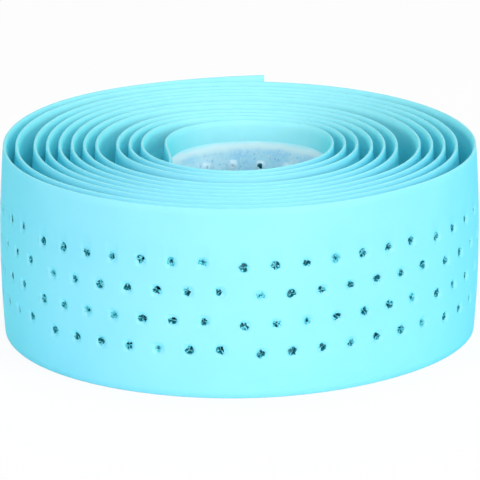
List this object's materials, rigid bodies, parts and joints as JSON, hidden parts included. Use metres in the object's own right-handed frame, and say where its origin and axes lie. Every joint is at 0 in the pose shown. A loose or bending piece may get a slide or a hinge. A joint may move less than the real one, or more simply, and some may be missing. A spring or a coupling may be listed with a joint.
{
  "type": "handlebar tape roll",
  "caption": "Spiral roll of perforated foam handlebar tape standing on its edge, with thin rims, a free inner end, an open core and a pale backing strip on the inner face.",
  "frame": {"origin": "middle of the roll's footprint box, on the plane of the resting edge", "axes": "+Z along the axis of the roll, up from the resting edge; +Y towards the back, where the square-cut outer end springs off; +X to the right"},
  "size_m": [0.0756, 0.0804, 0.03],
  "materials": {
    "tape_foam": "matte soft-touch polyurethane skin on foam",
    "backing_film": "crinkled translucent adhesive film"
  },
  "bodies": {
    "root": {"tape": "tape_foam", "backing_strip": "backing_film"}
  },
  "joints": []
}
